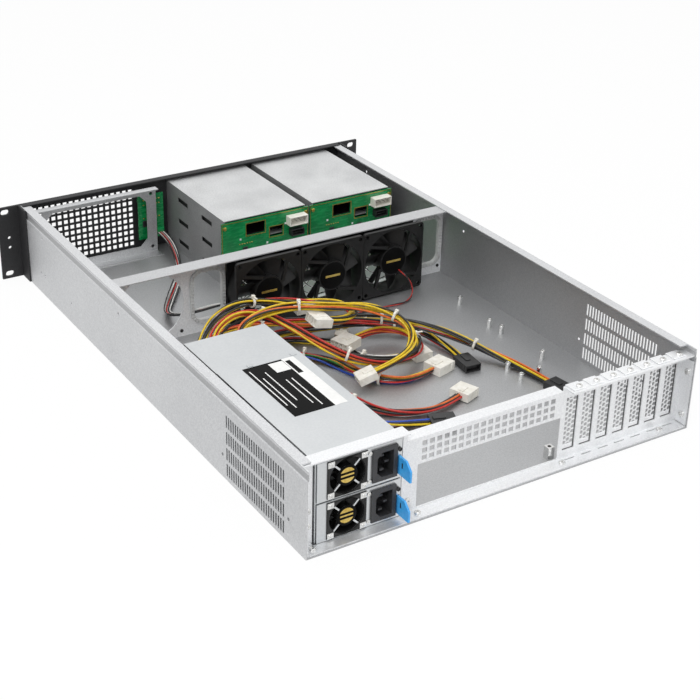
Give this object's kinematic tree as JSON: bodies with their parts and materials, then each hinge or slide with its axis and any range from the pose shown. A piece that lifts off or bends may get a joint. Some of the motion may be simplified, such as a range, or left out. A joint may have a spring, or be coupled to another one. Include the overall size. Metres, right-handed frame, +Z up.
{
  "type": "barebone server",
  "caption": "Rack server case with its cover off: fan wall, drive cages with trays, twin hot-swap supply modules, rear aperture and card slots, loose cable harness.",
  "frame": {"origin": "middle of the tray's underside, at half of the case depth", "axes": "+Z up, -Y the front with the ears, +Y the rear with the supply modules, +X the supply's side"},
  "size_m": [0.4826, 0.6641, 0.088],
  "materials": {
    "galvanised_sheet": "fine speckled zinc",
    "black_steel": "fine texture powder coat",
    "supply_steel": "plain zinc plated",
    "bright_steel": "bright nickel",
    "circuit_board": "satin solder mask",
    "black_plastic": "satin",
    "white_plastic": "satin",
    "grey_plastic": "satin",
    "blue_plastic": "satin",
    "yellow_wire": "satin sleeve",
    "black_wire": "satin sleeve",
    "red_wire": "satin sleeve"
  },
  "bodies": {
    "case": {"chassis_tray": "galvanised_sheet", "rear_panel": "galvanised_sheet", "rear_lip": "galvanised_sheet", "slot_covers": "galvanised_sheet", "vent_bracket": "galvanised_sheet", "fan_wall": "galvanised_sheet", "drive_cage_left": "galvanised_sheet", "drive_cage_right": "galvanised_sheet", "front_panel": "black_steel", "ear_left": "black_steel", "ear_right": "black_steel", "standoffs": "bright_steel", "psu_housing": "supply_steel", "control_board": "circuit_board", "backplane_left": "circuit_board", "backplane_right": "circuit_board", "psu_cable_bush": "black_plastic", "board_sockets": "white_plastic", "cable_grommets": "grey_plastic", "fan_frame_1": "black_plastic", "fan_frame_2": "black_plastic", "fan_frame_3": "black_plastic", "harness_1": "yellow_wire", "harness_2": "yellow_wire", "harness_3": "red_wire", "harness_4": "black_wire", "harness_5": "black_wire", "harness_6": "yellow_wire", "harness_7": "black_wire", "harness_8": "red_wire", "harness_9": "black_wire", "fan_lead_1": "red_wire", "fan_lead_2": "red_wire", "front_loom": "black_wire", "cable_connectors": "white_plastic"},
    "power_button": {"power_button": "black_plastic"},
    "reset_button": {"reset_button": "black_plastic"},
    "rotor_1": {"fan_rotor_1": "black_plastic"},
    "rotor_2": {"fan_rotor_2": "black_plastic"},
    "rotor_3": {"fan_rotor_3": "black_plastic"},
    "module_1": {"psu_module_1": "bright_steel", "psu_inlet_1": "black_plastic"},
    "latch_1": {"psu_latch_1": "blue_plastic"},
    "module_rotor_1": {"psu_rotor_1": "black_plastic"},
    "module_2": {"psu_module_2": "bright_steel", "psu_inlet_2": "black_plastic"},
    "latch_2": {"psu_latch_2": "blue_plastic"},
    "module_rotor_2": {"psu_rotor_2": "black_plastic"},
    "tray_1": {"drive_tray_1": "black_steel"},
    "lever_1": {"tray_lever_1": "black_plastic"},
    "tray_2": {"drive_tray_2": "black_steel"},
    "lever_2": {"tray_lever_2": "black_plastic"},
    "tray_3": {"drive_tray_3": "black_steel"},
    "lever_3": {"tray_lever_3": "black_plastic"},
    "tray_4": {"drive_tray_4": "black_steel"},
    "lever_4": {"tray_lever_4": "black_plastic"},
    "tray_5": {"drive_tray_5": "black_steel"},
    "lever_5": {"tray_lever_5": "black_plastic"},
    "tray_6": {"drive_tray_6": "black_steel"},
    "lever_6": {"tray_lever_6": "black_plastic"}
  },
  "joints": [
    {"name": "fan_spin_1", "type": "hinge", "parent": "case", "child": "rotor_1", "pos_m": [0.032, -0.075, 0.0435], "axis": [0, 1, 0], "continuous": true},
    {"name": "fan_spin_2", "type": "hinge", "parent": "case", "child": "rotor_2", "pos_m": [-0.0485, -0.075, 0.0435], "axis": [0, 1, 0], "continuous": true},
    {"name": "fan_spin_3", "type": "hinge", "parent": "case", "child": "rotor_3", "pos_m": [-0.129, -0.075, 0.0435], "axis": [0, 1, 0], "continuous": true},
    {"name": "module_slide_1", "type": "slide", "parent": "case", "child": "module_1", "axis": [0, 1, 0], "range_m": [0, 0.175]},
    {"name": "module_fan_spin_1", "type": "hinge", "parent": "module_1", "child": "module_rotor_1", "pos_m": [0.168, 0.3, 0.02212], "axis": [0, 1, 0], "continuous": true},
    {"name": "latch_turn_1", "type": "hinge", "parent": "module_1", "child": "latch_1", "pos_m": [0.1158, 0.3091, 0.01613], "axis": [0, 0, -1], "range_deg": [0, 8], "stiffness_Nm_per_rad": 0.05},
    {"name": "module_slide_2", "type": "slide", "parent": "case", "child": "module_2", "axis": [0, 1, 0], "range_m": [0, 0.175]},
    {"name": "module_fan_spin_2", "type": "hinge", "parent": "module_2", "child": "module_rotor_2", "pos_m": [0.168, 0.3, 0.06258], "axis": [0, 1, 0], "continuous": true},
    {"name": "latch_turn_2", "type": "hinge", "parent": "module_2", "child": "latch_2", "pos_m": [0.1158, 0.3091, 0.05658], "axis": [0, 0, -1], "range_deg": [0, 8], "stiffness_Nm_per_rad": 0.05},
    {"name": "tray_slide_1", "type": "slide", "parent": "case", "child": "tray_1", "axis": [0, -1, 0], "range_m": [0, 0.14]},
    {"name": "lever_turn_1", "type": "hinge", "parent": "tray_1", "child": "lever_1", "pos_m": [0.016, -0.33, 0.0147], "axis": [0, 0, 1], "range_deg": [0, 60]},
    {"name": "tray_slide_2", "type": "slide", "parent": "case", "child": "tray_2", "axis": [0, -1, 0], "range_m": [0, 0.14]},
    {"name": "lever_turn_2", "type": "hinge", "parent": "tray_2", "child": "lever_2", "pos_m": [0.016, -0.33, 0.0417], "axis": [0, 0, 1], "range_deg": [0, 60]},
    {"name": "tray_slide_3", "type": "slide", "parent": "case", "child": "tray_3", "axis": [0, -1, 0], "range_m": [0, 0.14]},
    {"name": "lever_turn_3", "type": "hinge", "parent": "tray_3", "child": "lever_3", "pos_m": [0.016, -0.33, 0.0687], "axis": [0, 0, 1], "range_deg": [0, 60]},
    {"name": "tray_slide_4", "type": "slide", "parent": "case", "child": "tray_4", "axis": [0, -1, 0], "range_m": [0, 0.14]},
    {"name": "lever_turn_4", "type": "hinge", "parent": "tray_4", "child": "lever_4", "pos_m": [-0.1, -0.33, 0.0147], "axis": [0, 0, 1], "range_deg": [0, 60]},
    {"name": "tray_slide_5", "type": "slide", "parent": "case", "child": "tray_5", "axis": [0, -1, 0], "range_m": [0, 0.14]},
    {"name": "lever_turn_5", "type": "hinge", "parent": "tray_5", "child": "lever_5", "pos_m": [-0.1, -0.33, 0.0417], "axis": [0, 0, 1], "range_deg": [0, 60]},
    {"name": "tray_slide_6", "type": "slide", "parent": "case", "child": "tray_6", "axis": [0, -1, 0], "range_m": [0, 0.14]},
    {"name": "lever_turn_6", "type": "hinge", "parent": "tray_6", "child": "lever_6", "pos_m": [-0.1, -0.33, 0.0687], "axis": [0, 0, 1], "range_deg": [0, 60]},
    {"name": "power_button_press", "type": "slide", "parent": "case", "child": "power_button", "axis": [0, 1, 0], "range_m": [0, 0.0012], "stiffness_N_per_m": 250},
    {"name": "reset_button_press", "type": "slide", "parent": "case", "child": "reset_button", "axis": [0, 1, 0], "range_m": [0, 0.0012], "stiffness_N_per_m": 200}
  ]
}
